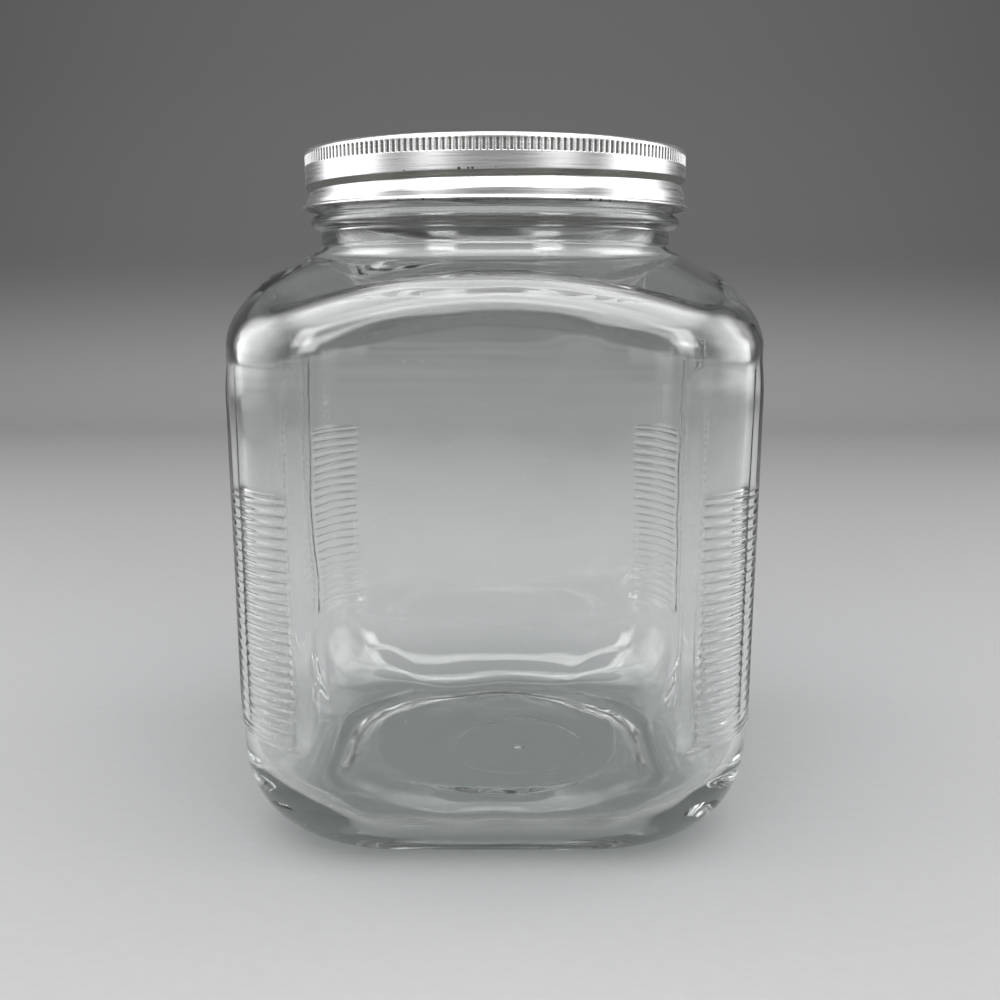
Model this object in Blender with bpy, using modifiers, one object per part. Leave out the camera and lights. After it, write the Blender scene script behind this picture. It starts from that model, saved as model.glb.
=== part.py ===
# Square glass canister with ribbed corners and a turned metal screw lid.
# Metres, +Z up. The origin is the middle of the base, on the surface that the jar stands on.
# The jar is one hollow loft: up its outside from the middle of the underside, over the lip, and
# down the inside to the middle of the floor. The lid is one turned sheet-metal shell.

import math

import bmesh
import bpy
from mathutils import Matrix, Vector

MM = 0.001

# Body: a rounded square in plan
BODY_HALF = 82.1 * MM
BODY_CORNER = 35.0 * MM
WALL = 4.5 * MM

# Base: a flat bearing ring below a tall rounded heel, and a push-up that lifts the inner floor too
BEARING_HALF = 63.0 * MM
BEARING_CORNER = 40.5 * MM
BEARING_EDGE_HALF = 57.5 * MM
BEARING_EDGE_CORNER = 44.0 * MM
HEEL_HEIGHT = 35.5 * MM
PUSH_UP = 4.6 * MM
RECESS_HALF = 46.0 * MM
RECESS_CORNER = 43.0 * MM
MOAT_HEIGHT = 6.4 * MM
MOAT_HALF = 57.0 * MM
MOAT_CORNER = 43.0 * MM
FLOOR_TOP = 10.2 * MM
FLOOR_HALF = 45.0 * MM
FLOOR_CORNER = 43.0 * MM

# Corner pads: raised bands up the four corners, ribbed over their lower part
PAD_RELIEF = 0.8 * MM
PAD_START = 12.0
RIB_START = 18.0
EDGE_TURN = 6.0
PAD_TOP = 150.0 * MM
PAD_STEP = 3.5 * MM
RIB_COUNT = 23
RIB_BOTTOM = 43.5 * MM
RIB_TOP = 116.5 * MM
RIB_DEPTH = 0.4 * MM

# Shoulder: a cone from the neck, run into the walls by a rolling-ball fillet
CONE_SLOPE = 0.505
CONE_RADIUS = 60.8 * MM
CONE_HEIGHT = 188.6 * MM
SHOULDER_FILLET = 17.0 * MM
INNER_FILLET = 15.0 * MM

# Neck: wall, transfer bead, and the finish that the lid goes over
NECK_RADIUS = 59.2 * MM
NECK_ROOT = 190.2 * MM
ROOT_SAG = 0.3 * MM
BEAD_RADIUS = 62.4 * MM
BEAD_HEIGHT = 197.8 * MM
BEAD_HALF = 2.2 * MM
BEAD_FOOT = 0.5 * MM
BEAD_ARC = 70.0
FINISH_RADIUS = 60.0 * MM
BORE_RADIUS = 56.0 * MM
BORE_FLARE = 1.0 * MM
LIP_HEIGHT = 219.0 * MM
LIP_ROUND = 1.8 * MM

# Lid: spun aluminium with a rolled thread groove, a flared skirt and a bottom curl
LID_TOP = 220.8 * MM
LID_RADIUS = 63.9 * MM
LID_SHEET = 0.5 * MM
LID_RIM_ROUND = 1.6 * MM
PANEL_RADIUS = 56.5 * MM
PANEL_HEIGHT = 219.8 * MM
RIM_FLAT_RADIUS = 60.0 * MM
GROOVE_TOP = 210.4 * MM
GROOVE_RADIUS = 62.4 * MM
GROOVE_HEIGHT = 208.5 * MM
SKIRT_RADIUS = 63.45 * MM
SKIRT_HEIGHT = 205.5 * MM
CURL_CENTRE = 63.9 * MM
CURL_HEIGHT = 203.1 * MM
CURL_ROUND = 1.05 * MM

# Mesh fineness
SIDE_SEGMENTS = 5
CORNER_MIDDLE = 38.5
MIDDLE_SHARE = 0.45
HEEL_ROWS = 7
RAMP_ROWS = 4
FILLET_ROWS = 5
CONE_ROWS = 2
NECK_SPACING_EVEN = 0.7
LID_STEPS = 48


def corner_angles():
    """Angles of the points across one corner, closer together at the two edges of its pad."""
    first_half = [0.0, PAD_START, PAD_START + EDGE_TURN, RIB_START + EDGE_TURN, CORNER_MIDDLE]
    return first_half + [90.0 - angle for angle in reversed(first_half)]


def share_inside(angle, start):
    """Rises from 0 to 1 from a starting angle on, measured from the nearer end of the corner."""
    inside = min(angle, 90.0 - angle) - start
    return min(max(inside / EDGE_TURN, 0.0), 1.0)


def outline(half, corner, pad=0.0, rib=0.0):
    """Points round a rounded square, each with its outward normal, anticlockwise from +X.

    The corners stand out by the pad's relief, less the depth of a groove between two ribs.
    """
    quarter = []
    straight = half - corner
    for step in range(1, SIDE_SEGMENTS):
        along = straight * (2.0 * step / SIDE_SEGMENTS - 1.0)
        quarter.append((Vector((half, along)), Vector((1.0, 0.0))))
    for angle in corner_angles():
        normal = Vector((math.cos(math.radians(angle)), math.sin(math.radians(angle))))
        reach = corner + pad * share_inside(angle, PAD_START) - rib * share_inside(angle, RIB_START)
        quarter.append((Vector((straight, straight)) + normal * reach, normal))
    turns = [Matrix.Rotation(math.radians(90.0 * side), 2) for side in range(4)]
    return [(turn @ point, turn @ normal) for turn in turns for point, normal in quarter]


def flat_ring(half, corner, height, pad=0.0, rib=0.0):
    """A level ring of the jar."""
    return [Vector((p.x, p.y, height)) for p, normal in outline(half, corner, pad, rib)]


def cone_height(radius, inset):
    """Height of the shoulder's cone, or of the surface an inset below it."""
    drop = inset * math.sqrt(1.0 + CONE_SLOPE ** 2)
    return CONE_HEIGHT - CONE_SLOPE * (radius - CONE_RADIUS) - drop


def shoulder_rings(inset, ball):
    """Rings of the ball's fillet, from the wall up to the cone, for a surface inset from the outer one."""
    slope = math.atan(CONE_SLOPE)
    columns = []
    for point, normal in outline(BODY_HALF - inset, BODY_CORNER - inset):
        centre = point - normal * ball
        radial = centre.normalized()
        height = cone_height(centre.length, inset + ball)
        start = Vector((normal.x, normal.y, 0.0))
        finish = Vector((radial.x * math.sin(slope), radial.y * math.sin(slope), math.cos(slope)))
        middle = Vector((centre.x, centre.y, height))
        columns.append([middle + start.slerp(finish, row / FILLET_ROWS) * ball
                        for row in range(FILLET_ROWS + 1)])
    return [list(ring) for ring in zip(*columns)]


def polar_angle(point, near):
    """Polar angle of a point, in the turn that lies nearest to another angle."""
    angle = math.atan2(point.y, point.x)
    return angle + math.tau * round((near - angle) / math.tau)


def round_angles(ring):
    """Polar angles for the round neck: between those of a shoulder ring and even ones."""
    middle_of_side = (SIDE_SEGMENTS - 2) / 2.0
    angles = []
    for index, point in enumerate(ring):
        even = math.tau * (index - middle_of_side) / len(ring)
        own = polar_angle(point, even)
        angles.append(own + (even - own) * NECK_SPACING_EVEN)
    return angles


def round_ring(angles, radius, height):
    """A level round ring of the neck."""
    return [Vector((radius * math.cos(a), radius * math.sin(a), height)) for a in angles]


def cone_rings(ring, angles, inner_radius, inset):
    """Rings on the cone, from the fillet in to the foot of the neck."""
    rings = []
    for row in range(1, CONE_ROWS + 1):
        share = row / CONE_ROWS
        level = []
        for point, goal in zip(ring, angles):
            own = polar_angle(point, goal)
            angle = own + (goal - own) * share
            reach = math.hypot(point.x, point.y)
            radius = reach + (inner_radius - reach) * share
            level.append(Vector((radius * math.cos(angle), radius * math.sin(angle),
                                 cone_height(radius, inset))))
        rings.append(level)
    return rings


def rounded_rings(top, foot, top_height, foot_height, rows):
    """Rings from an upright wall along a quarter ellipse to a level face, between two outlines."""
    rings = []
    for row in range(rows + 1):
        angle = math.radians(90.0 * row / rows)
        share = 1.0 - math.cos(angle)
        half = top[0] + (foot[0] - top[0]) * share
        corner = top[1] + (foot[1] - top[1]) * share
        height = foot_height + (top_height - foot_height) * (1.0 - math.sin(angle))
        rings.append(flat_ring(half, corner, height))
    return rings


def arc(centre, radius, start, stop, steps):
    """Points of an arc in the plane of radius and height, in degrees."""
    points = []
    for step in range(steps + 1):
        angle = math.radians(start + (stop - start) * step / steps)
        points.append((centre[0] + radius * math.cos(angle), centre[1] + radius * math.sin(angle)))
    return points


def ramp_rings(start, stop):
    """Rings of a smooth ramp between two level outlines, each given as half, corner and height."""
    rings = []
    for row in range(RAMP_ROWS + 1):
        share = row / RAMP_ROWS
        rise = share * share * (3.0 - 2.0 * share)
        rings.append(flat_ring(start[0] + (stop[0] - start[0]) * share,
                               start[1] + (stop[1] - start[1]) * share,
                               start[2] + (stop[2] - start[2]) * rise))
    return rings


def underside_rings():
    """The push-up and its ramp, from the middle out to the bearing ring."""
    middle = flat_ring(RECESS_HALF * MIDDLE_SHARE, RECESS_CORNER * MIDDLE_SHARE, PUSH_UP)
    return [middle] + ramp_rings((RECESS_HALF, RECESS_CORNER, PUSH_UP),
                                 (BEARING_EDGE_HALF, BEARING_EDGE_CORNER, 0.0))


def corner_pad_rings():
    """The ribs, then the plain pad above them, then its top step."""
    pitch = (RIB_TOP - RIB_BOTTOM) / (RIB_COUNT - 1)
    rings = [flat_ring(BODY_HALF, BODY_CORNER, RIB_BOTTOM - pitch / 2)]
    for rib in range(RIB_COUNT):
        height = RIB_BOTTOM + pitch * rib
        rings.append(flat_ring(BODY_HALF, BODY_CORNER, height, PAD_RELIEF))
        rings.append(flat_ring(BODY_HALF, BODY_CORNER, height + pitch / 2, PAD_RELIEF, RIB_DEPTH))
    rings.append(flat_ring(BODY_HALF, BODY_CORNER, RIB_TOP + pitch, PAD_RELIEF))
    rings.append(flat_ring(BODY_HALF, BODY_CORNER, PAD_TOP, PAD_RELIEF))
    rings.append(flat_ring(BODY_HALF, BODY_CORNER, PAD_TOP + PAD_STEP))
    return rings


def neck_profile():
    """Radius and height of the neck, from its root over the bead and lip to the bore's foot."""
    bead = arc((BEAD_RADIUS - BEAD_HALF, BEAD_HEIGHT), BEAD_HALF, -BEAD_ARC, BEAD_ARC, 4)
    lip_out = arc((FINISH_RADIUS - LIP_ROUND, LIP_HEIGHT - LIP_ROUND), LIP_ROUND, 0.0, 90.0, 2)
    lip_in = arc((BORE_RADIUS + LIP_ROUND, LIP_HEIGHT - LIP_ROUND), LIP_ROUND, 90.0, 180.0, 2)
    root_middle = ((NECK_RADIUS + CONE_RADIUS) / 2.0 - ROOT_SAG, (NECK_ROOT + CONE_HEIGHT) / 2.0 - ROOT_SAG)
    root = [root_middle, (NECK_RADIUS, NECK_ROOT)]
    below_bead = [(NECK_RADIUS, BEAD_HEIGHT - BEAD_HALF - BEAD_FOOT)]
    above_bead = [(FINISH_RADIUS, BEAD_HEIGHT + BEAD_HALF + BEAD_FOOT)]
    return root + below_bead + bead + above_bead + lip_out + lip_in


def jar_rings():
    """Every ring of the jar in order."""
    wall = (BODY_HALF, BODY_CORNER)
    bearing = (BEARING_HALF, BEARING_CORNER)
    inner_wall = (BODY_HALF - WALL, BODY_CORNER - WALL)
    moat = (MOAT_HALF, MOAT_CORNER)
    rings = underside_rings()
    rings += reversed(rounded_rings(wall, bearing, HEEL_HEIGHT, 0.0, HEEL_ROWS))
    rings += corner_pad_rings()
    outer = shoulder_rings(0.0, SHOULDER_FILLET)
    angles = round_angles(outer[-1])
    rings += outer
    rings += cone_rings(outer[-1], angles, CONE_RADIUS, 0.0)
    rings += [round_ring(angles, radius, height) for radius, height in neck_profile()]
    inner = shoulder_rings(WALL, INNER_FILLET)
    rings.append(round_ring(angles, BORE_RADIUS, NECK_ROOT))
    rings += reversed([inner[-1]] + cone_rings(inner[-1], angles, BORE_RADIUS + BORE_FLARE, WALL))
    rings += reversed(inner[:-1])
    rings += rounded_rings(inner_wall, moat, HEEL_HEIGHT, MOAT_HEIGHT, HEEL_ROWS)
    rings += ramp_rings((MOAT_HALF, MOAT_CORNER, MOAT_HEIGHT), (FLOOR_HALF, FLOOR_CORNER, FLOOR_TOP))[1:]
    rings.append(flat_ring(FLOOR_HALF * MIDDLE_SHARE, FLOOR_CORNER * MIDDLE_SHARE, FLOOR_TOP))
    return rings


def make_material(name, colour, roughness, metallic, transmission=0.0):
    """A plain Principled material."""
    material = bpy.data.materials.new(name)
    material.use_nodes = True
    shader = material.node_tree.nodes["Principled BSDF"]
    shader.inputs["Base Color"].default_value = (*colour, 1.0)
    shader.inputs["Roughness"].default_value = roughness
    shader.inputs["Metallic"].default_value = metallic
    shader.inputs["Transmission Weight"].default_value = transmission
    material.diffuse_color = (*colour, 1.0)
    return material


def add_object(name, mesh, material, collection):
    """Puts a mesh in the scene as one named object, shaded smooth between its sharp edges."""
    mesh.materials.append(material)
    mesh.shade_smooth()
    mesh.set_sharp_from_angle(angle=math.radians(35.0))
    thing = bpy.data.objects.new(name, mesh)
    collection.objects.link(thing)
    return thing


def make_jar(collection):
    """The glass jar, lofted through all its rings and closed by a flat cap at each end."""
    shape = bmesh.new()
    rings = [[shape.verts.new(point) for point in ring] for ring in jar_rings()]
    count = len(rings[0])
    for low, high in zip(rings, rings[1:]):
        for index in range(count):
            after = (index + 1) % count
            shape.faces.new((low[index], low[after], high[after], high[index]))
    shape.faces.new(reversed(rings[0]))
    shape.faces.new(rings[-1])
    bmesh.ops.recalc_face_normals(shape, faces=shape.faces)
    mesh = bpy.data.meshes.new("jar")
    shape.to_mesh(mesh)
    shape.free()
    glass = make_material("clear_glass", (0.90, 0.95, 0.93), 0.02, 0.0, 1.0)
    return add_object("jar", mesh, glass, collection)


def lid_outside():
    """Outer profile of the lid, from the middle of its panel down to the curl."""
    rim = arc((LID_RADIUS - LID_RIM_ROUND, LID_TOP - LID_RIM_ROUND), LID_RIM_ROUND, 90.0, 0.0, 4)
    groove = [(LID_RADIUS, GROOVE_TOP), (GROOVE_RADIUS, GROOVE_HEIGHT), (SKIRT_RADIUS, SKIRT_HEIGHT)]
    curl = arc((CURL_CENTRE, CURL_HEIGHT), CURL_ROUND, 100.0, -90.0, 5)
    panel = [(0.0, PANEL_HEIGHT), (PANEL_RADIUS, PANEL_HEIGHT), (RIM_FLAT_RADIUS, LID_TOP)]
    return panel + rim + groove + curl


def lid_inside():
    """Inner profile of the lid, from the curl back up to the middle of the panel."""
    curl = [(CURL_CENTRE - CURL_ROUND, CURL_HEIGHT)]
    wall = [(SKIRT_RADIUS - LID_SHEET, SKIRT_HEIGHT), (GROOVE_RADIUS - LID_SHEET, GROOVE_HEIGHT),
            (LID_RADIUS - LID_SHEET, GROOVE_TOP),
            (LID_RADIUS - LID_SHEET, LID_TOP - LID_RIM_ROUND)]
    top = [(LID_RADIUS - LID_RIM_ROUND, LID_TOP - LID_SHEET), (RIM_FLAT_RADIUS, LID_TOP - LID_SHEET),
           (PANEL_RADIUS, PANEL_HEIGHT - LID_SHEET), (0.0, PANEL_HEIGHT - LID_SHEET)]
    return curl + wall + top


def make_lid(collection):
    """The lid, its profile turned round the jar's axis."""
    profile = lid_outside() + lid_inside()
    mesh = bpy.data.meshes.new("lid")
    mesh.from_pydata([(radius, 0.0, height) for radius, height in profile],
                     [(index, index + 1) for index in range(len(profile) - 1)], [])
    metal = make_material("brushed_aluminium", (0.74, 0.74, 0.75), 0.35, 1.0)
    lid = add_object("lid", mesh, metal, collection)
    screw = lid.modifiers.new("Turn", "SCREW")
    screw.steps = LID_STEPS
    screw.render_steps = LID_STEPS
    screw.use_merge_vertices = True
    screw.merge_threshold = 0.00005
    screw.use_smooth_shade = True
    return lid


def main():
    for thing in list(bpy.data.objects):
        bpy.data.objects.remove(thing)
    canister = bpy.data.collections.new("square_glass_canister")
    bpy.context.scene.collection.children.link(canister)
    make_jar(canister)
    make_lid(canister)


main()
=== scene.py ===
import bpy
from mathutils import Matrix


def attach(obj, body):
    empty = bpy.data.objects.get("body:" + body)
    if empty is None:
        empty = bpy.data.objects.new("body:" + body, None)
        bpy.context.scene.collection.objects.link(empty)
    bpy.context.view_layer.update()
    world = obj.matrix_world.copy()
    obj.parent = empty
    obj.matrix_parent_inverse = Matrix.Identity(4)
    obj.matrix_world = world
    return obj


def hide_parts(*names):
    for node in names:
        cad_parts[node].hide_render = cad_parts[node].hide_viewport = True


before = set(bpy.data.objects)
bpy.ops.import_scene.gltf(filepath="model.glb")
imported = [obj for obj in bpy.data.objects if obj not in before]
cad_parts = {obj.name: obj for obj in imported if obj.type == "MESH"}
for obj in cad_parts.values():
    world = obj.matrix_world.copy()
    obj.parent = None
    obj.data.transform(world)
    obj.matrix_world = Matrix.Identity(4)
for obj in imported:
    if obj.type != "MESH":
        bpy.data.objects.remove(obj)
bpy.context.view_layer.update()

import math

import bpy
import numpy as np
from mathutils import Vector

# The jar: one piece of clear soda glass, blown in a mould and empty. Its walls are flat between four
# rounded corners, each with a raised pad that is ribbed over its lower part. The inside was never in
# touch with the mould, so it is smooth and faintly wavy. The base stands on a flat ring.
MM = 0.001
SIDE_COLUMNS = 26
CORNER_COLUMNS = 90
body = {"half": 82.1 * MM, "corner": 35.0 * MM}
wall = 4.5 * MM
heel_height = 35.5 * MM
bearing = {"half": 63.0 * MM, "corner": 40.5 * MM}
bearing_edge = {"half": 57.5 * MM, "corner": 44.0 * MM, "height": 0.0}
recess = {"half": 46.0 * MM, "corner": 43.0 * MM, "height": 4.6 * MM}
moat = {"half": 57.0 * MM, "corner": 43.0 * MM, "height": 6.4 * MM}
floor = {"half": 45.0 * MM, "corner": 43.0 * MM, "height": 10.2 * MM}
pad = {"relief": 0.8 * MM, "start": 11.5, "turn": 7.5, "top": 151.5 * MM, "fade": 5.0 * MM}
panel_line = {"start": 20.2, "turn": 1.6, "depth": 0.10 * MM}
ribs = {"count": 23, "low": 43.5 * MM, "high": 116.5 * MM, "depth": 0.32 * MM, "ridge": 0.75 * MM,
        "start": 20.5, "turn": 3.0, "rows": 12}
cone = {"slope": 0.505, "radius": 60.8 * MM, "height": 188.6 * MM}
shoulder_ball = 17.0 * MM
inner_ball = 15.0 * MM
neck = {"radius": 59.2 * MM, "root": 190.2 * MM, "finish": 60.0 * MM, "bore": 56.0 * MM}
bead = {"radius": 62.4 * MM, "height": 197.8 * MM, "half": 2.2 * MM}
lip = {"height": 219.0 * MM, "round": 1.8 * MM}


def eased(share):
    """A smooth 0 to 1."""
    share = np.clip(share, 0.0, 1.0)
    return share * share * (3.0 - 2.0 * share)


# One quarter of the outline is a side, then a corner; the four quarters make the columns of the loft.
side_share = np.linspace(-1.0, 1.0, SIDE_COLUMNS + 1)[:-1]
corner_angle = np.linspace(0.0, 90.0, CORNER_COLUMNS + 1)[:-1]
column_angle = np.tile(np.concatenate([np.zeros(SIDE_COLUMNS), corner_angle]), 4)
from_edge = np.minimum(column_angle, 90.0 - column_angle)
pad_share = eased((from_edge - pad["start"]) / pad["turn"])
panel_share = eased((from_edge - panel_line["start"]) / panel_line["turn"])
rib_share = eased((from_edge - ribs["start"]) / ribs["turn"])


def rounded_square(half, corner):
    """Points round a rounded square and their outward normals, anticlockwise from +X."""
    straight = half - corner
    turn = np.radians(corner_angle)
    xs = np.concatenate([np.full(SIDE_COLUMNS, half), straight + corner * np.cos(turn)])
    ys = np.concatenate([straight * side_share, straight + corner * np.sin(turn)])
    normal_x = np.concatenate([np.ones(SIDE_COLUMNS), np.cos(turn)])
    normal_y = np.concatenate([np.zeros(SIDE_COLUMNS), np.sin(turn)])
    points, normals = [], []
    for quarter in range(4):
        c, s = round(math.cos(quarter * math.pi / 2)), round(math.sin(quarter * math.pi / 2))
        points.append(np.stack([c * xs - s * ys, s * xs + c * ys], axis=1))
        normals.append(np.stack([c * normal_x - s * normal_y, s * normal_x + c * normal_y], axis=1))
    return np.concatenate(points), np.concatenate(normals)


def level_ring(half, corner, height, relief=0.0):
    """A level ring of the jar, moved outward by its relief."""
    points, normals = rounded_square(half, corner)
    points = points + normals * np.reshape(relief, (-1, 1))
    return np.column_stack([points, np.full(len(points), height)])


def quarter_ellipse_rings(top, foot, top_height, foot_height, rows):
    """Rings from an upright wall, round a heel, to a level face."""
    rings = []
    for angle in np.linspace(0.0, math.pi / 2, rows + 1):
        share = 1.0 - math.cos(angle)
        half = top["half"] + (foot["half"] - top["half"]) * share
        corner = top["corner"] + (foot["corner"] - top["corner"]) * share
        height = foot_height + (top_height - foot_height) * (1.0 - math.sin(angle))
        rings.append(level_ring(half, corner, height))
    return rings


def ramp_rings(start, stop, rows):
    """Rings of a smooth ramp from one level rounded square to another."""
    return [level_ring(start["half"] + (stop["half"] - start["half"]) * share,
                       start["corner"] + (stop["corner"] - start["corner"]) * share,
                       start["height"] + (stop["height"] - start["height"]) * float(eased(share)))
            for share in np.linspace(0.0, 1.0, rows + 1)]


def inset(shape, by):
    """The same rounded square, smaller all round."""
    return {"half": shape["half"] - by, "corner": shape["corner"] - by}


def cone_height(radius, below):
    """Height of the shoulder's cone, or of the surface that lies a distance below it."""
    drop = below * math.hypot(1.0, cone["slope"])
    return cone["height"] - cone["slope"] * (radius - cone["radius"]) - drop


def shoulder_rings(below, ball, rows):
    """Rings of the fillet that a ball rolled between wall and cone leaves, from the wall up."""
    slope = math.atan(cone["slope"])
    points, normals = rounded_square(body["half"] - below, body["corner"] - below)
    centre = points - normals * ball
    reach = np.hypot(centre[:, 0], centre[:, 1])
    middle = np.column_stack([centre, cone_height(reach, below + ball)])
    start = np.column_stack([normals, np.zeros(len(normals))])
    finish = np.column_stack([centre / reach[:, None] * math.sin(slope),
                              np.full(len(centre), math.cos(slope))])
    between = np.arccos(np.clip((start * finish).sum(axis=1), -1.0, 1.0))[:, None]
    rings = []
    for share in np.linspace(0.0, 1.0, rows + 1):
        way = (np.sin((1.0 - share) * between) * start + np.sin(share * between) * finish) / np.sin(between)
        rings.append(middle + way * ball)
    return rings


def profile_arc(centre, radius, start, stop, steps):
    """Radius and height of points on an arc, angles in degrees."""
    angles = np.radians(np.linspace(start, stop, steps + 1))
    return [(centre[0] + radius * math.cos(a), centre[1] + radius * math.sin(a)) for a in angles]


def profile_blend(points, steps):
    """Points on a smooth quadratic curve through a corner, from the first point to the last."""
    (x0, z0), (x1, z1), (x2, z2) = points
    shares = [step / steps for step in range(steps + 1)]
    return [((1 - t) ** 2 * x0 + 2 * t * (1 - t) * x1 + t * t * x2,
             (1 - t) ** 2 * z0 + 2 * t * (1 - t) * z1 + t * t * z2) for t in shares]


outer_shoulder = shoulder_rings(0.0, shoulder_ball, 20)
inner_shoulder = shoulder_rings(wall, inner_ball, 16)
column_count = len(column_angle)
even_angle = (np.arange(column_count) - SIDE_COLUMNS / 2) * math.tau / column_count
own_angle = np.arctan2(outer_shoulder[-1][:, 1], outer_shoulder[-1][:, 0])
own_angle += math.tau * np.round((even_angle - own_angle) / math.tau)
EVENNESS = 0.7
neck_angle = own_angle + (even_angle - own_angle) * EVENNESS


def round_ring(radius, height):
    """A level round ring of the neck."""
    return np.column_stack([radius * np.cos(neck_angle), radius * np.sin(neck_angle),
                            np.full(column_count, height)])


def cone_rings(ring, inner_radius, below, rows):
    """Rings on the cone, from the fillet in to a given radius."""
    own = np.arctan2(ring[:, 1], ring[:, 0])
    own += math.tau * np.round((neck_angle - own) / math.tau)
    reach = np.hypot(ring[:, 0], ring[:, 1])
    rings = []
    for share in np.linspace(0.0, 1.0, rows + 1)[1:]:
        angle = own + (neck_angle - own) * share
        radius = reach + (inner_radius - reach) * share
        rings.append(np.column_stack([radius * np.cos(angle), radius * np.sin(angle),
                                      cone_height(radius, below)]))
    return rings


def pad_rings():
    """Rings of the body wall with its corner pads and ribs, from the heel up to the shoulder."""
    pitch = (ribs["high"] - ribs["low"]) / (ribs["count"] - 1)
    foot = ribs["low"] - pitch / 2
    rib_heights = foot + np.arange(ribs["count"] * ribs["rows"] + 1) * pitch / ribs["rows"]
    plain_heights = np.linspace(rib_heights[-1], pad["top"] - pad["fade"], 14)[1:]
    fade_heights = np.linspace(plain_heights[-1], pad["top"] + pad["fade"], 11)[1:]
    heights = np.concatenate([foot - np.array([0.75, 0.6, 0.45, 0.3, 0.15]) * pitch,
                              rib_heights, plain_heights, fade_heights])
    rings = []
    for height in heights:
        from_ridge = (height - ribs["low"] + pitch / 2) % pitch - pitch / 2
        valley = ribs["depth"] * (1.0 - math.exp(-(from_ridge / ribs["ridge"]) ** 2))
        from_end = min(height - foot, rib_heights[-1] - height)
        in_ribs = float(eased(from_end / (0.3 * pitch)))
        low_share = float(eased((height - foot + 0.75 * pitch) / (0.9 * pitch)))
        high_share = float(eased((pad["top"] + pad["fade"] - height) / (2 * pad["fade"])))
        relief = (pad_share * pad["relief"] - panel_share * panel_line["depth"]) * low_share * high_share
        relief = relief - rib_share * valley * in_ribs
        rings.append(level_ring(body["half"], body["corner"], height, relief))
    return rings


# The underside: a push-up with a round mark and a small pip from the mould, inside the bearing ring.
mark = {"x": 9.0 * MM, "y": -3.5 * MM, "radius": 25.0 * MM, "width": 1.3 * MM, "height": 0.16 * MM}
pip = {"radius": 1.9 * MM, "height": 0.35 * MM}
underside = [level_ring(recess["half"] * share, recess["corner"] * share, recess["height"])
             for share in np.linspace(0.02, 0.97, 64)]
for ring in underside:
    away = np.hypot(ring[:, 0] - mark["x"], ring[:, 1] - mark["y"])
    ring[:, 2] -= mark["height"] * np.exp(-((away - mark["radius"]) / mark["width"]) ** 2)
    ring[:, 2] -= pip["height"] * np.exp(-(away / pip["radius"]) ** 2)
underside += ramp_rings(recess, bearing_edge, 20)

heel = quarter_ellipse_rings(body, bearing, heel_height, 0.0, 30)[::-1]

root_start = cone["radius"] + 1.4 * MM
neck_root = profile_blend([(root_start, cone_height(root_start, 0.0)),
                           (neck["radius"], cone_height(neck["radius"], 0.0)),
                           (neck["radius"], neck["root"] + 1.0 * MM)], 8)
bead_arc = profile_arc((bead["radius"] - bead["half"], bead["height"]), bead["half"], -80.0, 80.0, 14)
bead_foot = profile_blend([(neck["radius"], bead["height"] - 3.4 * MM),
                           (neck["radius"] + 0.1 * MM, bead["height"] - 2.3 * MM), bead_arc[0]], 4)[:-1]
bead_top = profile_blend([bead_arc[-1], (neck["finish"], bead["height"] + 2.3 * MM),
                          (neck["finish"], bead["height"] + 3.2 * MM)], 4)[1:]
lip_middle = lip["height"] - lip["round"]
lip_arc = (profile_arc((neck["finish"] - lip["round"], lip_middle), lip["round"], 0.0, 90.0, 8)
           + profile_arc((neck["bore"] + lip["round"], lip_middle), lip["round"], 90.0, 180.0, 8))
bore_end = neck["bore"] + 8.0 * MM
bore_foot = profile_blend([(neck["bore"], neck["root"] + 6.0 * MM),
                           (neck["bore"], cone_height(neck["bore"], wall)),
                           (bore_end, cone_height(bore_end, wall))], 18)
neck_line = neck_root + bead_foot + bead_arc + bead_top + lip_arc + bore_foot[:-1]

outer_rings = (underside + heel + pad_rings() + outer_shoulder
               + cone_rings(outer_shoulder[-1], neck_root[0][0], 0.0, 14)[:-1]
               + [round_ring(radius, height) for radius, height in neck_line])
inner_rings = ((inner_shoulder + cone_rings(inner_shoulder[-1], bore_end, wall, 10))[::-1]
               + [level_ring(body["half"] - wall, body["corner"] - wall, height)
                  for height in np.linspace(inner_shoulder[0][:, 2].min(), heel_height, 44)[1:-1]]
               + quarter_ellipse_rings(inset(body, wall), moat, heel_height, moat["height"], 30)
               + ramp_rings(moat, floor, 16)[1:]
               + [level_ring(floor["half"] * share, floor["corner"] * share, floor["height"])
                  for share in np.linspace(1.0, 0.02, 34)[1:]])
rings = np.array(outer_rings + inner_rings)

# Waves in the glass, as sums of long sines: the inside is the wavier face, and both have faint
# level streaks under the shoulder, where the glass chilled first.
waves = np.random.default_rng(7)


def wavy(points, count, shortest, longest, stretch=(1.0, 1.0, 1.0)):
    """A smooth random value of about -1 to 1 at each point."""
    total = np.zeros(points.shape[:-1])
    for _ in range(count):
        way = waves.normal(size=3)
        way *= np.array(stretch) * math.tau / waves.uniform(shortest, longest) / np.linalg.norm(way)
        total += np.sin(points @ way + waves.uniform(0.0, math.tau))
    return total / math.sqrt(count)


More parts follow.
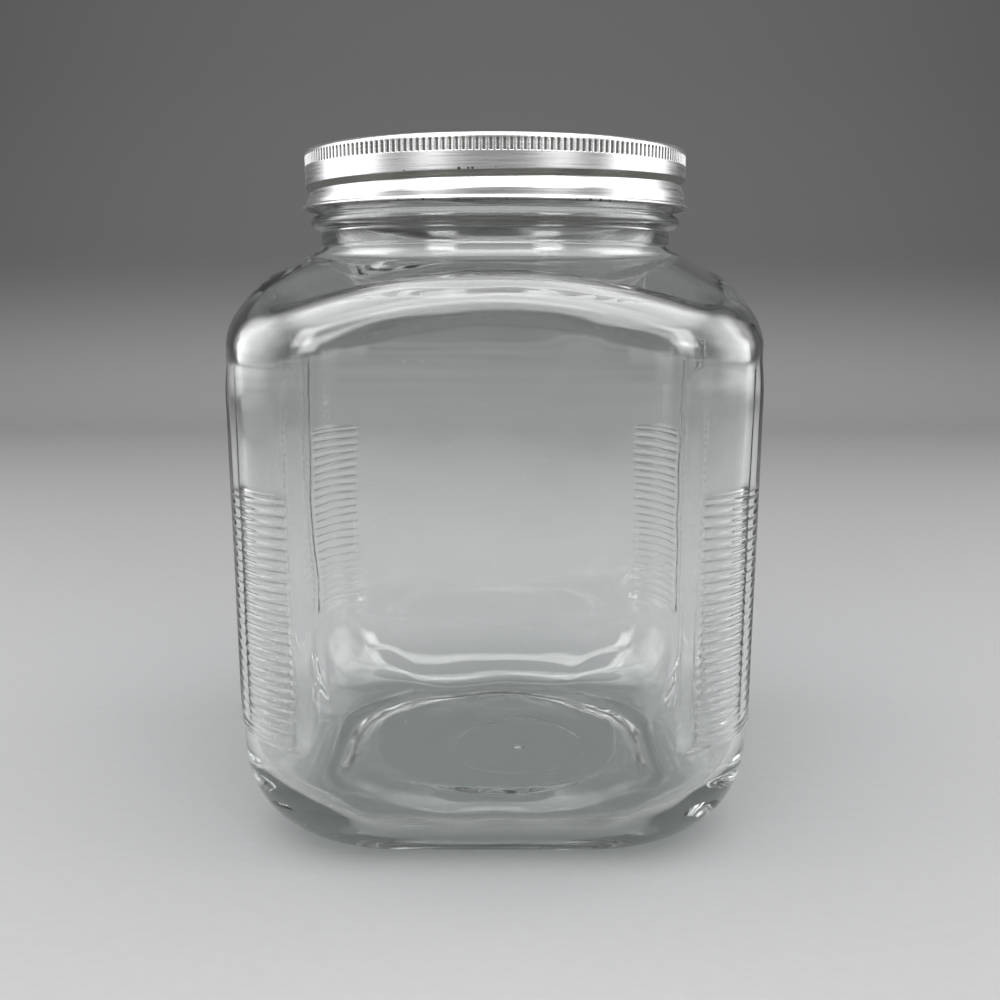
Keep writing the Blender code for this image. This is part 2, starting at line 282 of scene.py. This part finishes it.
across, up = np.roll(rings, -1, axis=1) - np.roll(rings, 1, axis=1), np.gradient(rings, axis=0)
face_normal = np.cross(across, up)
face_normal /= np.maximum(np.linalg.norm(face_normal, axis=2, keepdims=True), 1e-12)
height = rings[:, :, 2]
inside = (np.arange(len(rings)) >= len(outer_rings))[:, None]
body_share = eased((height - 20 * MM) / (20 * MM)) * eased((188 * MM - height) / (10 * MM))
streak_share = eased((height - 138 * MM) / (14 * MM)) * eased((172 * MM - height) / (8 * MM))
outer_wave = 0.035 * MM * wavy(rings, 10, 30 * MM, 70 * MM) - 0.06 * MM
inner_wave = 0.16 * MM * wavy(rings, 12, 32 * MM, 90 * MM) + 0.03 * MM * wavy(rings, 12, 12 * MM, 24 * MM)
streaks = 0.045 * MM * wavy(rings, 10, 3.0 * MM, 6.0 * MM, (0.06, 0.06, 1.0))
inner_floor = eased((40 * MM - height) / (20 * MM)) * 0.10 * MM * wavy(rings, 10, 18 * MM, 40 * MM)
move = np.where(inside, inner_wave * np.maximum(body_share, 0.2) + inner_floor, outer_wave * body_share)
move += streaks * streak_share
rings = rings + face_normal * np.where(inside, -move, move)[:, :, None]


def loft(name, rings):
    """A closed mesh through the rings, with a flat cap at each end."""
    rows, columns = rings.shape[:2]
    index = np.arange(rows * columns).reshape(rows, columns)
    after = np.roll(index, -1, axis=1)
    quads = np.stack([index[:-1], after[:-1], after[1:], index[1:]], axis=-1).reshape(-1, 4)
    caps = [index[0][::-1].tolist(), index[-1].tolist()]
    mesh = bpy.data.meshes.new(name)
    mesh.from_pydata(rings.reshape(-1, 3).tolist(), [], quads.tolist() + caps)
    mesh.shade_smooth()
    return mesh


jar_mesh = loft("jar_glass", rings)
jar = bpy.data.objects.new("jar_glass", jar_mesh)
bpy.context.scene.collection.objects.link(jar)


def add_node(tree, kind, inputs=(), **settings):
    """Adds a shader node, sets it, and links or sets its inputs by name or index."""
    node = tree.nodes.new(kind)
    for name, value in settings.items():
        setattr(node, name, value)
    for key, value in dict(inputs).items():
        if isinstance(value, bpy.types.NodeSocket):
            tree.links.new(value, node.inputs[key])
        else:
            node.inputs[key].default_value = value
    return node


# Handling marks: faint smears and fine dust, on the glass and on the metal.
marks = bpy.data.node_groups.new("handling_marks", "ShaderNodeTree")
marks.interface.new_socket("Position", in_out="INPUT", socket_type="NodeSocketVector")
marks.interface.new_socket("Smear Size", in_out="INPUT", socket_type="NodeSocketFloat")
marks.interface.new_socket("Smears", in_out="OUTPUT", socket_type="NodeSocketFloat")
marks.interface.new_socket("Dust", in_out="OUTPUT", socket_type="NodeSocketFloat")
marks_in = marks.nodes.new("NodeGroupInput")
marks_out = marks.nodes.new("NodeGroupOutput")
smear_noise = add_node(marks, "ShaderNodeTexNoise", {"Vector": marks_in.outputs["Position"],
                       "Scale": marks_in.outputs["Smear Size"], "Detail": 2.0, "Roughness": 0.6})
smear_range = add_node(marks, "ShaderNodeMapRange", {"Value": smear_noise.outputs["Fac"],
                       "From Min": 0.58, "From Max": 0.8})
dust_noise = add_node(marks, "ShaderNodeTexVoronoi", {"Vector": marks_in.outputs["Position"],
                      "Scale": 130.0})
dust_range = add_node(marks, "ShaderNodeMapRange", {"Value": dust_noise.outputs["Distance"],
                      "From Min": 0.035, "From Max": 0.015})
marks.links.new(smear_range.outputs["Result"], marks_out.inputs["Smears"])
marks.links.new(dust_range.outputs["Result"], marks_out.inputs["Dust"])

glass = bpy.data.materials.new("clear_glass")
glass.use_nodes = True
tree = glass.node_tree
shader = tree.nodes["Principled BSDF"]
shader.inputs["Base Color"].default_value = (0.985, 0.995, 0.990, 1.0)
shader.inputs["Metallic"].default_value = 0.0
shader.inputs["Transmission Weight"].default_value = 1.0
shader.inputs["IOR"].default_value = 1.51
place = add_node(tree, "ShaderNodeTexCoord")
glass_marks = add_node(tree, "ShaderNodeGroup", node_tree=marks)
glass_marks.inputs["Smear Size"].default_value = 18.0
tree.links.new(place.outputs["Object"], glass_marks.inputs["Position"])
glass_rough = add_node(tree, "ShaderNodeMapRange", {"Value": glass_marks.outputs["Smears"],
                       "To Min": 0.0, "To Max": 0.03})
dusty = add_node(tree, "ShaderNodeMath", {0: glass_marks.outputs["Dust"], 1: 0.45,
                 2: glass_rough.outputs["Result"]}, operation="MULTIPLY_ADD")
tree.links.new(dusty.outputs["Value"], shader.inputs["Roughness"])
ripple = add_node(tree, "ShaderNodeTexNoise", {"Vector": place.outputs["Object"], "Scale": 70.0,
                  "Detail": 1.0})
ripple_bump = add_node(tree, "ShaderNodeBump", {"Height": ripple.outputs["Fac"], "Strength": 0.06,
                       "Distance": 0.0006})
tree.links.new(ripple_bump.outputs["Normal"], shader.inputs["Normal"])
tint = add_node(tree, "ShaderNodeVolumeAbsorption", {"Color": (0.78, 0.83, 0.81, 1.0), "Density": 4.0})
tree.links.new(tint.outputs["Volume"], tree.nodes["Material Output"].inputs["Volume"])
shade_way = add_node(tree, "ShaderNodeLightPath")
shade = add_node(tree, "ShaderNodeBsdfTransparent", {"Color": (0.90, 0.93, 0.92, 1.0)})
clear = add_node(tree, "ShaderNodeMixShader", {0: shade_way.outputs["Is Shadow Ray"],
                 1: shader.outputs["BSDF"], 2: shade.outputs["BSDF"]})
tree.links.new(clear.outputs["Shader"], tree.nodes["Material Output"].inputs["Surface"])
jar_mesh.materials.append(glass)
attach(jar, "root")
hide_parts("jar")

# The lid: one drawing of thin aluminium sheet, satin lacquered and turned. Its rim is knurled for grip,
# its thread is rolled in as one shallow turn, and its bottom edge is curled outward. It screws onto the
# hidden thread of the neck.
flutes = {"count": 205, "columns": 8, "depth": 0.45 * MM, "low": 215.6 * MM, "high": 219.6 * MM}
lid_top = 220.8 * MM
lid_radius = 63.9 * MM
rim_round = 1.6 * MM
sheet = 0.5 * MM
panel = {"radius": 56.5 * MM, "height": 219.8 * MM, "rim": 60.0 * MM}
thread = {"front": 209.45 * MM, "pitch": 5.6 * MM, "end": 176.0, "fade": 16.0}
thread_line = [(2.2, 0.0), (1.2, 0.0), (0.95, 0.06), (0.75, 0.24), (-0.5, 1.26), (-0.8, 1.44), (-1.0, 1.46),
               (-1.2, 1.38), (-3.8, 0.36), (-4.1, 0.28), (-4.4, 0.26), (-7.0, 0.25), (-9.0, 0.25)]
curl = {"centre": 64.2 * MM, "height": 202.55 * MM, "round": 0.7 * MM}

lid_columns = flutes["count"] * flutes["columns"]
turn = np.linspace(-180.0, 180.0, lid_columns, endpoint=False)
thread_height = thread["front"] + thread["pitch"] * turn / 360.0
start_share = eased((thread["end"] - np.abs(turn)) / thread["fade"])

rim_arc = profile_arc((lid_radius - rim_round, lid_top - rim_round), rim_round, 90.0, 0.0, 8)
flat_edge = (panel["radius"] - 1.0 * MM, panel["height"])
step_middle = (panel["radius"] + 1.4 * MM, panel["height"] + 0.5 * MM)
crown = ([(radius, panel["height"]) for radius in np.linspace(0.8 * MM, flat_edge[0], 24)]
         + profile_blend([flat_edge, (panel["radius"] + 0.6 * MM, panel["height"]), step_middle], 4)[1:]
         + profile_blend([step_middle, (panel["rim"] - 1.3 * MM, lid_top), (panel["rim"], lid_top)], 4)[1:])
band_stops = [(lid_top - rim_round, 1), (flutes["low"] + 0.3 * MM, 14), (flutes["low"] - 0.1 * MM, 5),
              (213.4 * MM, 4), (203.4 * MM, 77)]
band_heights = np.concatenate([np.linspace(start, stop, steps)[1:]
                               for (start, _), (stop, steps) in zip(band_stops, band_stops[1:])])
curl_arc = profile_arc((curl["centre"], curl["height"]), curl["round"], 112.0, -150.0, 14)


def band_radius(height):
    """Radius of the lid's side at a height, all round: flutes, rolled thread and skirt."""
    radius = np.full(lid_columns, lid_radius)
    flute = eased((0.25 - np.cos(math.tau * flutes["count"] * turn / 360.0)) / 1.1)
    above_low, below_high = height - flutes["low"], flutes["high"] - height
    radius -= flutes["depth"] * flute * eased(above_low / (0.03 * MM)) * eased(below_high / (1.0 * MM))
    places, depths = np.array(thread_line[::-1]).T * MM
    return radius - start_share * np.interp(height - thread_height, places, depths)


def lid_ring(radius, height):
    """A level ring of the lid, centred on its turning axis, starting at the back."""
    angle = np.radians(turn) - math.pi / 2
    radius = np.broadcast_to(radius, turn.shape)
    return np.column_stack([radius * np.cos(angle), radius * np.sin(angle), np.full(lid_columns, height)])


lid_outer = ([lid_ring(radius, height) for radius, height in crown + rim_arc]
             + [lid_ring(band_radius(height), height) for height in band_heights]
             + [lid_ring(radius, height) for radius, height in curl_arc])
lid_inner = ([lid_ring(curl["centre"] - curl["round"] - 0.25 * MM, 203.0 * MM)]
             + [lid_ring(band_radius(height) - sheet, height) for height in band_heights[::-4]]
             + [lid_ring(lid_radius - rim_round, lid_top - sheet), lid_ring(panel["rim"], lid_top - sheet),
                lid_ring(panel["radius"], panel["height"] - sheet)]
             + [lid_ring(radius, panel["height"] - sheet) for radius in np.linspace(50 * MM, 0.8 * MM, 6)])
lid_mesh = loft("screw_lid", np.array(lid_outer + lid_inner))
lid = bpy.data.objects.new("screw_lid", lid_mesh)
bpy.context.scene.collection.objects.link(lid)

metal = bpy.data.materials.new("brushed_aluminium")
metal.use_nodes = True
tree = metal.node_tree
shader = tree.nodes["Principled BSDF"]
shader.inputs["Metallic"].default_value = 1.0
place = add_node(tree, "ShaderNodeTexCoord")
parts = add_node(tree, "ShaderNodeSeparateXYZ", {"Vector": place.outputs["Object"]})
round_angle = add_node(tree, "ShaderNodeMath", {0: parts.outputs["Y"], 1: parts.outputs["X"]},
                       operation="ARCTAN2")
from_axis = add_node(tree, "ShaderNodeVectorMath", {0: place.outputs["Object"], 1: (1.0, 1.0, 0.0)},
                     operation="MULTIPLY")
reach = add_node(tree, "ShaderNodeVectorMath", {0: from_axis.outputs["Vector"]}, operation="LENGTH")
turned_place = add_node(tree, "ShaderNodeCombineXYZ", {"X": round_angle.outputs["Value"],
                        "Y": reach.outputs["Value"], "Z": parts.outputs["Z"]})
brush_place = add_node(tree, "ShaderNodeVectorMath", {0: turned_place.outputs["Vector"],
                       1: (3.0, 2600.0, 2600.0)}, operation="MULTIPLY")
brush = add_node(tree, "ShaderNodeTexNoise", {"Vector": brush_place.outputs["Vector"], "Scale": 1.0,
                 "Detail": 4.0, "Roughness": 0.7})
lid_marks = add_node(tree, "ShaderNodeGroup", node_tree=marks)
lid_marks.inputs["Smear Size"].default_value = 40.0
tree.links.new(place.outputs["Object"], lid_marks.inputs["Position"])
tone = add_node(tree, "ShaderNodeValToRGB", {"Fac": brush.outputs["Fac"]})
tone.color_ramp.elements[0].position = 0.3
tone.color_ramp.elements[0].color = (0.50, 0.50, 0.505, 1.0)
tone.color_ramp.elements[1].position = 0.7
tone.color_ramp.elements[1].color = (0.66, 0.66, 0.665, 1.0)
# Painted shade: the knurl slots and the faces that look down are darkened in the base colour, standing in
# for the shade that falls in them.
slot_depth = add_node(tree, "ShaderNodeMapRange", {"Value": reach.outputs["Value"],
                      "From Min": lid_radius - 0.06 * MM, "From Max": lid_radius - 0.26 * MM})
slot_foot = add_node(tree, "ShaderNodeMapRange", {"Value": parts.outputs["Z"],
                     "From Min": flutes["low"] - 0.2 * MM, "From Max": flutes["low"]})
slot_head = add_node(tree, "ShaderNodeMapRange", {"Value": parts.outputs["Z"],
                     "From Min": lid_top - 1.45 * MM, "From Max": lid_top - 1.75 * MM})
slot_height = add_node(tree, "ShaderNodeMath", {0: slot_foot.outputs["Result"],
                       1: slot_head.outputs["Result"]}, operation="MULTIPLY")
slot_shade = add_node(tree, "ShaderNodeMath", {0: slot_depth.outputs["Result"], 1: slot_height.outputs["Value"]},
                 operation="MULTIPLY")
facing = add_node(tree, "ShaderNodeNewGeometry")
facing_parts = add_node(tree, "ShaderNodeSeparateXYZ", {"Vector": facing.outputs["Normal"]})
downward_shade = add_node(tree, "ShaderNodeMapRange", {"Value": facing_parts.outputs["Z"], "From Min": -0.15,
                 "From Max": -0.5})
painted_shade = add_node(tree, "ShaderNodeMath", {0: slot_shade.outputs["Value"], 1: downward_shade.outputs["Result"]},
                 operation="MAXIMUM")
shaded_tone = add_node(tree, "ShaderNodeMix", {0: painted_shade.outputs["Value"], 6: tone.outputs["Color"],
                  7: (0.17, 0.166, 0.15, 1.0)}, data_type="RGBA")
tree.links.new(shaded_tone.outputs[2], shader.inputs["Base Color"])
rough = add_node(tree, "ShaderNodeMapRange", {"Value": brush.outputs["Fac"], "From Min": 0.3,
                 "From Max": 0.7, "To Min": 0.24, "To Max": 0.35})
smeared = add_node(tree, "ShaderNodeMath", {0: lid_marks.outputs["Smears"], 1: 0.06,
                   2: rough.outputs["Result"]}, operation="MULTIPLY_ADD")
tree.links.new(smeared.outputs["Value"], shader.inputs["Roughness"])
brush_bump = add_node(tree, "ShaderNodeBump", {"Height": brush.outputs["Fac"], "Strength": 0.12,
                      "Distance": 0.00004})
tree.links.new(brush_bump.outputs["Normal"], shader.inputs["Normal"])
lid_mesh.materials.append(metal)
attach(lid, "root")
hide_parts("lid")

# Specks of dark dirt on the lid, where handling left them: in the groove's upper edge and along the curl.
# Each is a flat grain that sits a little in the lacquer: degrees round the lid, height and size in mm.
specks = [(-9.1, 210.62, 0.62), (-6.7, 210.68, 0.42), (-5.6, 210.70, 0.52), (-24.1, 210.35, 0.32),
          (0.4, 210.85, 0.24), (-39.0, 202.35, 0.42), (-25.5, 202.30, 0.40), (-18.5, 202.25, 0.55),
          (-10.3, 202.20, 0.34), (-9.2, 202.25, 0.40), (-1.5, 202.20, 0.28), (3.2, 202.25, 0.30),
          (21.6, 202.30, 0.38), (25.5, 202.25, 0.62), (28.5, 202.25, 0.66), (31.4, 202.25, 0.50),
          (36.9, 202.30, 0.42),
          (-22.3, 202.20, 0.28), (-16.2, 202.20, 0.26), (30.0, 202.15, 0.32), (96.0, 202.30, 0.40),
          (171.0, 202.25, 0.40), (-128.0, 202.30, 0.36)]
speck_shape = np.random.default_rng(11)
speck_points, speck_faces = [], []
for bearing_angle, speck_height, size in specks:
    angle = math.radians(bearing_angle) - math.pi / 2
    on_curl = speck_height < 205.0
    grain_radius = curl["centre"] + curl["round"] * 0.94 if on_curl else lid_radius - 0.02 * MM
    out = np.array([math.cos(angle), math.sin(angle), 0.0])
    round_way = np.array([-math.sin(angle), math.cos(angle), 0.0])
    first = len(speck_points)
    for lift, spread in ((-0.08 * MM, 1.0), (0.03 * MM, 0.9), (0.07 * MM, 0.45)):
        for corner in range(9):
            way = math.tau * corner / 9
            wide = size * MM * spread * speck_shape.uniform(0.75, 1.1)
            rise = np.array([0.0, 0.0, speck_height * MM + wide * 0.8 * math.sin(way)])
            speck_points.append(tuple(out * (grain_radius + lift) + round_way * wide * math.cos(way) + rise))
    for level in range(2):
        for corner in range(9):
            low, next_low = first + 9 * level + corner, first + 9 * level + (corner + 1) % 9
            speck_faces.append((low, next_low, next_low + 9, low + 9))
    speck_faces.append(tuple(first + 18 + corner for corner in range(9)))
    speck_faces.append(tuple(first + corner for corner in reversed(range(9))))
speck_mesh = bpy.data.meshes.new("lid_specks")
speck_mesh.from_pydata(speck_points, [], speck_faces)
speck_mesh.shade_smooth()
lid_specks = bpy.data.objects.new("lid_specks", speck_mesh)
bpy.context.scene.collection.objects.link(lid_specks)
dirt = bpy.data.materials.new("dark_dirt")
dirt.use_nodes = True
tree = dirt.node_tree
shader = tree.nodes["Principled BSDF"]
shader.inputs["Roughness"].default_value = 0.85
grit = add_node(tree, "ShaderNodeTexNoise", {"Scale": 6000.0, "Detail": 2.0})
grit_tone = add_node(tree, "ShaderNodeValToRGB", {"Fac": grit.outputs["Fac"]})
grit_tone.color_ramp.elements[0].color = (0.006, 0.006, 0.006, 1.0)
grit_tone.color_ramp.elements[1].color = (0.035, 0.032, 0.028, 1.0)
tree.links.new(grit_tone.outputs["Color"], shader.inputs["Base Color"])
speck_mesh.materials.append(dirt)
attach(lid_specks, "root")

# The stage: a plain pale sweep that curves up behind the jar, its colour darkened up the wall as painted
# shade, soft boxes above, in front, at the front corners and at the sides, and the camera in the
# photograph's place.
sweep_line = [(-1.6, 0.0)] + [(0.9, 0.0)] + [(0.9 + 0.5 * math.sin(a), 0.5 - 0.5 * math.cos(a))
              for a in np.radians(np.linspace(0.0, 90.0, 25))[1:]] + [(1.4, 2.6)]
sweep_mesh = bpy.data.meshes.new("sweep")
sweep_mesh.from_pydata([(x, y, z) for y, z in sweep_line for x in (-2.5, 2.5)], [],
                       [(2 * i, 2 * i + 1, 2 * i + 3, 2 * i + 2) for i in range(len(sweep_line) - 1)])
sweep_mesh.shade_smooth()
sweep = bpy.data.objects.new("sweep", sweep_mesh)
bpy.context.scene.collection.objects.link(sweep)
paper = bpy.data.materials.new("pale_paper")
paper.use_nodes = True
tree = paper.node_tree
shader = tree.nodes["Principled BSDF"]
fibre = add_node(tree, "ShaderNodeTexNoise", {"Scale": 900.0, "Detail": 2.0})
paper_tone = add_node(tree, "ShaderNodeMapRange", {"Value": fibre.outputs["Fac"], "To Min": 0.96,
                      "To Max": 1.04})
paper_place = add_node(tree, "ShaderNodeTexCoord")
paper_parts = add_node(tree, "ShaderNodeSeparateXYZ", {"Vector": paper_place.outputs["Object"]})
# Painted shade: the paper's colour darkens from the floor up the wall, standing in for the light falling off
# there.
paper_rise = add_node(tree, "ShaderNodeMapRange", {"Value": paper_parts.outputs["Z"], "From Max": 0.22},
                      interpolation_type="SMOOTHSTEP")
painted_wall_shade = add_node(tree, "ShaderNodeValToRGB", {"Fac": paper_rise.outputs["Result"]})
painted_wall_shade.color_ramp.elements[0].color = (0.25, 0.25, 0.253, 1.0)
painted_wall_shade.color_ramp.elements[1].color = (0.10, 0.10, 0.102, 1.0)
paper_colour = add_node(tree, "ShaderNodeVectorMath", {0: painted_wall_shade.outputs["Color"],
                        "Scale": paper_tone.outputs["Result"]}, operation="SCALE")
tree.links.new(paper_colour.outputs["Vector"], shader.inputs["Base Color"])
shader.inputs["Roughness"].default_value = 0.75
sweep_mesh.materials.append(paper)


def soft_light(name, spot, aim, size, brightness):
    """A soft box that faces a point, brightest in the middle and fading towards its edges."""
    data = bpy.data.lights.new(name, "AREA")
    data.shape = "RECTANGLE"
    data.size, data.size_y = size
    data.energy = brightness * math.pi * size[0] * size[1]
    data.use_nodes = True
    tree = data.node_tree
    across = add_node(tree, "ShaderNodeNewGeometry")
    middle = add_node(tree, "ShaderNodeVectorMath", {0: across.outputs["Parametric"], 1: (0.5, 0.5, 0.0)},
                      operation="SUBTRACT")
    away = add_node(tree, "ShaderNodeVectorMath", {0: middle.outputs["Vector"]}, operation="ABSOLUTE")
    sides = add_node(tree, "ShaderNodeSeparateXYZ", {"Vector": away.outputs["Vector"]})
    fades = [add_node(tree, "ShaderNodeMapRange", {"Value": sides.outputs[axis], "From Min": 0.5,
                      "From Max": 0.2}, interpolation_type="SMOOTHSTEP") for axis in "XY"]
    fade = add_node(tree, "ShaderNodeMath", {0: fades[0].outputs["Result"], 1: fades[1].outputs["Result"]},
                    operation="MULTIPLY")
    tree.links.new(fade.outputs["Value"], tree.nodes["Emission"].inputs["Strength"])
    box = bpy.data.objects.new(name, data)
    box.location = spot
    box.rotation_euler = (Vector(aim) - Vector(spot)).to_track_quat("-Z", "Y").to_euler()
    bpy.context.scene.collection.objects.link(box)
    return box


soft_light("top_softbox", (0.0, -0.15, 1.15), (0.0, -0.1, 0.15), (2.8, 1.4), 3.6)
soft_light("front_softbox", (0.0, -0.78, 1.05), (0.0, 0.0, 0.16), (1.5, 0.55), 6.0)
for side in (-1, 1):
    soft_light("corner_softbox", (0.66 * side, -0.90, 0.72), (0.0, 0.0, 0.16), (0.5, 0.75), 9.5)
    soft_light("side_softbox", (1.0 * side, 0.05, 0.50), (0.0, 0.0, 0.16), (1.3, 1.15), 2.8)

world = bpy.data.worlds.new("room")
world.use_nodes = True
world.node_tree.nodes["Background"].inputs["Color"].default_value = (0.33, 0.33, 0.335, 1.0)
world.node_tree.nodes["Background"].inputs["Strength"].default_value = 1.0
bpy.context.scene.world = world

camera_data = bpy.data.cameras.new("camera")
camera_data.sensor_width = 36.0
camera_data.lens = 36.0 * 1085.0 / 1000.0
camera_data.clip_start = 0.01
camera = bpy.data.objects.new("camera", camera_data)
camera.location = (0.00159, -0.3844, 0.18085)
camera.rotation_euler = (math.pi / 2 - 0.2045, 0.0, 0.0)
bpy.context.scene.collection.objects.link(camera)
bpy.context.scene.camera = camera
bpy.context.scene.view_settings.view_transform = "Standard"
cycles = bpy.context.scene.cycles
cycles.caustics_reflective = False
cycles.caustics_refractive = False
cycles.max_bounces = 24
cycles.diffuse_bounces = 1
cycles.glossy_bounces = 24
cycles.transmission_bounces = 24
